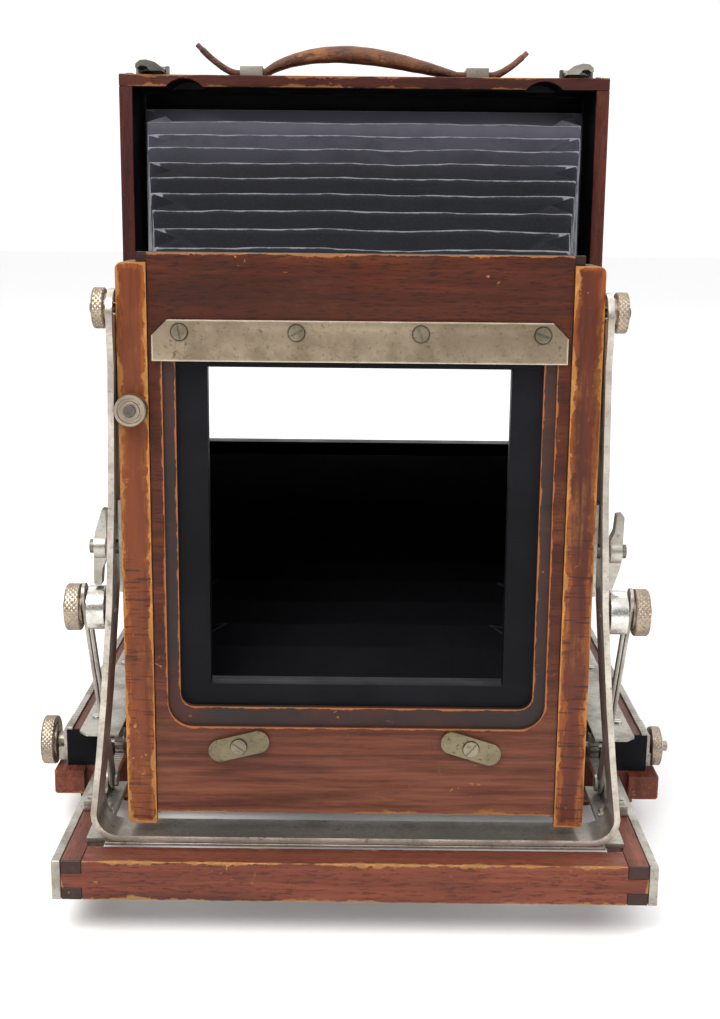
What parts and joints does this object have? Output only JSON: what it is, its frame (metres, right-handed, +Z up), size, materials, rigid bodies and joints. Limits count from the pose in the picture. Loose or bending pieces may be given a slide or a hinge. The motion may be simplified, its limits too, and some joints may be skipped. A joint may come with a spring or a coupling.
{
  "type": "view camera",
  "caption": "Wooden field view camera with racking front bed, metal U bracket front standard, sliding lens panel, tapered bellows and open rear box.",
  "frame": {"origin": "mouth of the tripod socket, in the plane the camera stands on", "axes": "+X right seen from the front, +Y to the rear, +Z up; the lens panel faces -Y"},
  "size_m": [0.3226, 0.418, 0.4125],
  "materials": {
    "mahogany": "red-brown varnish, worn at the edges",
    "post_wood": "orange-brown varnish, rubbed through",
    "panel_wood": "deep red varnish",
    "dark_wood": "black stain",
    "nickel": "tarnished nickel plate",
    "bright_nickel": "bright nickel plate",
    "knob_metal": "knurled nickel plate",
    "steel_dark": "blackened steel",
    "latch_metal": "nickel worn through to brass",
    "leather": "worn brown leather",
    "cloth": "blue-black bellows cloth"
  },
  "bodies": {
    "main_bed": {"main_rail_left": "mahogany", "main_rail_right": "mahogany", "bed_board": "mahogany", "bed_cross_rail": "mahogany", "bed_battens": "mahogany", "tripod_block": "mahogany", "tripod_plate": "nickel", "edge_strips": "nickel", "track_plates": "nickel", "track_screws": "bright_nickel", "pinion_bearings": "nickel", "rear_base": "mahogany", "rear_arms": "nickel", "box_sides": "mahogany", "box_top": "mahogany", "box_bottom": "mahogany", "back_frame": "mahogany", "corner_plates": "nickel", "case_screws": "bright_nickel", "catch_bases": "steel_dark", "handle_loops": "nickel", "handle_strap": "leather", "bellows": "cloth"},
    "front_bed": {"front_rail": "mahogany", "slide_rails": "mahogany", "slide_rear_rail": "mahogany", "runner_bars": "nickel", "racks": "nickel"},
    "focus_shaft": {"focus_shaft": "nickel", "pinions": "nickel", "focus_knob": "knob_metal"},
    "focus_lock": {"focus_lock_knob": "knob_metal"},
    "carriage": {"carriage_plate": "nickel", "tilt_hinge_pin": "nickel", "shoes": "nickel"},
    "strut_left": {"strut_left": "nickel"},
    "strut_right": {"strut_right": "nickel"},
    "bracket": {"u_bracket": "nickel", "bosses": "bright_nickel"},
    "strut_knob_left": {"strut_knob_left": "knob_metal"},
    "strut_knob_right": {"strut_knob_right": "knob_metal"},
    "front_frame": {"post_left": "post_wood", "post_right": "post_wood", "frame_bottom_rail": "dark_wood", "post_plates": "nickel", "pivot_bolts": "steel_dark", "clamp_studs": "steel_dark"},
    "wing_nut_left": {"wing_nut_left": "nickel"},
    "wing_nut_right": {"wing_nut_right": "nickel"},
    "top_knob_left": {"top_knob_left": "knob_metal"},
    "top_knob_right": {"top_knob_right": "knob_metal"},
    "rise_lock": {"rise_lock_knob": "knob_metal"},
    "lens_panel": {"lens_panel": "panel_wood", "retainer_strip": "nickel", "bellows_front_frame": "dark_wood", "panel_screws": "steel_dark"},
    "latch_left": {"latch_left": "latch_metal"},
    "latch_right": {"latch_right": "latch_metal"},
    "catch_left": {"catch_left": "steel_dark"},
    "catch_right": {"catch_right": "steel_dark"}
  },
  "joints": [
    {"name": "focus_slide", "type": "slide", "parent": "main_bed", "child": "front_bed", "axis": [0, -1, 0], "range_m": [-0.025, 0.1], "deforming": ["bellows"]},
    {"name": "focus_turn", "type": "hinge", "parent": "main_bed", "child": "focus_shaft", "pos_m": [0, -0.138, 0.0411], "axis": [1, 0, 0], "range_deg": [-960, 240]},
    {"name": "focus_lock_turn", "type": "hinge", "parent": "main_bed", "child": "focus_lock", "pos_m": [0, -0.138, 0.0411], "axis": [1, 0, 0], "range_deg": [0, 360]},
    {"name": "carriage_slide", "type": "slide", "parent": "front_bed", "child": "carriage", "axis": [0, 1, 0], "range_m": [-0.005, 0.015]},
    {"name": "base_tilt", "type": "hinge", "parent": "carriage", "child": "bracket", "pos_m": [0, -0.229, 0.0425], "axis": [-1, 0, 0], "range_deg": [0, 10]},
    {"name": "strut_left_turn", "type": "hinge", "parent": "carriage", "child": "strut_left", "pos_m": [-0.11675, -0.195, 0.044], "axis": [-1, 0, 0], "range_deg": [0, 9.1]},
    {"name": "strut_right_turn", "type": "hinge", "parent": "carriage", "child": "strut_right", "pos_m": [0.11675, -0.195, 0.044], "axis": [-1, 0, 0], "range_deg": [0, 9.1]},
    {"name": "front_tilt", "type": "hinge", "parent": "bracket", "child": "front_frame", "pos_m": [0, -0.2445, 0.17], "axis": [1, 0, 0], "range_deg": [-4, 4]},
    {"name": "panel_rise", "type": "slide", "parent": "front_frame", "child": "lens_panel", "axis": [0, 0, 1], "range_m": [-0.004, 0.03]},
    {"name": "latch_left_turn", "type": "hinge", "parent": "lens_panel", "child": "latch_left", "pos_m": [-0.051, -0.249, 0.0824], "axis": [0, -1, 0], "continuous": true},
    {"name": "latch_right_turn", "type": "hinge", "parent": "lens_panel", "child": "latch_right", "pos_m": [0.05, -0.249, 0.0824], "axis": [0, -1, 0], "continuous": true},
    {"name": "rise_lock_turn", "type": "hinge", "parent": "front_frame", "child": "rise_lock", "pos_m": [-0.094, -0.25, 0.23], "axis": [0, -1, 0], "range_deg": [0, 360]},
    {"name": "wing_nut_left_turn", "type": "hinge", "parent": "front_frame", "child": "wing_nut_left", "pos_m": [-0.11, -0.2445, 0.17], "axis": [-1, 0, 0], "range_deg": [0, 360]},
    {"name": "top_knob_left_turn", "type": "hinge", "parent": "front_frame", "child": "top_knob_left", "pos_m": [-0.107, -0.2445, 0.271], "axis": [-1, 0, 0], "range_deg": [0, 360]},
    {"name": "strut_knob_left_turn", "type": "hinge", "parent": "bracket", "child": "strut_knob_left", "pos_m": [-0.12, -0.2445, 0.143], "axis": [-1, 0, 0], "range_deg": [0, 360]},
    {"name": "catch_left_lift", "type": "hinge", "parent": "main_bed", "child": "catch_left", "pos_m": [-0.13, 0.077, 0.3938], "axis": [-1, 0, 0], "range_deg": [0, 25], "stiffness_Nm_per_rad": 0.08, "springref_deg": -5.73},
    {"name": "wing_nut_right_turn", "type": "hinge", "parent": "front_frame", "child": "wing_nut_right", "pos_m": [0.11, -0.2445, 0.17], "axis": [1, 0, 0], "range_deg": [0, 360]},
    {"name": "top_knob_right_turn", "type": "hinge", "parent": "front_frame", "child": "top_knob_right", "pos_m": [0.107, -0.2445, 0.271], "axis": [1, 0, 0], "range_deg": [0, 360]},
    {"name": "strut_knob_right_turn", "type": "hinge", "parent": "bracket", "child": "strut_knob_right", "pos_m": [0.12, -0.2445, 0.143], "axis": [1, 0, 0], "range_deg": [0, 360]},
    {"name": "catch_right_lift", "type": "hinge", "parent": "main_bed", "child": "catch_right", "pos_m": [0.13, 0.077, 0.3938], "axis": [-1, 0, 0], "range_deg": [0, 25], "stiffness_Nm_per_rad": 0.08, "springref_deg": -5.73}
  ],
  "couplings": [
    {"joint": "focus_turn", "follows": "focus_slide", "rad_per_m": -166.67},
    {"joint": "strut_left_turn", "follows": "base_tilt", "ratio": 0.89},
    {"joint": "strut_right_turn", "follows": "base_tilt", "ratio": 0.89}
  ]
}
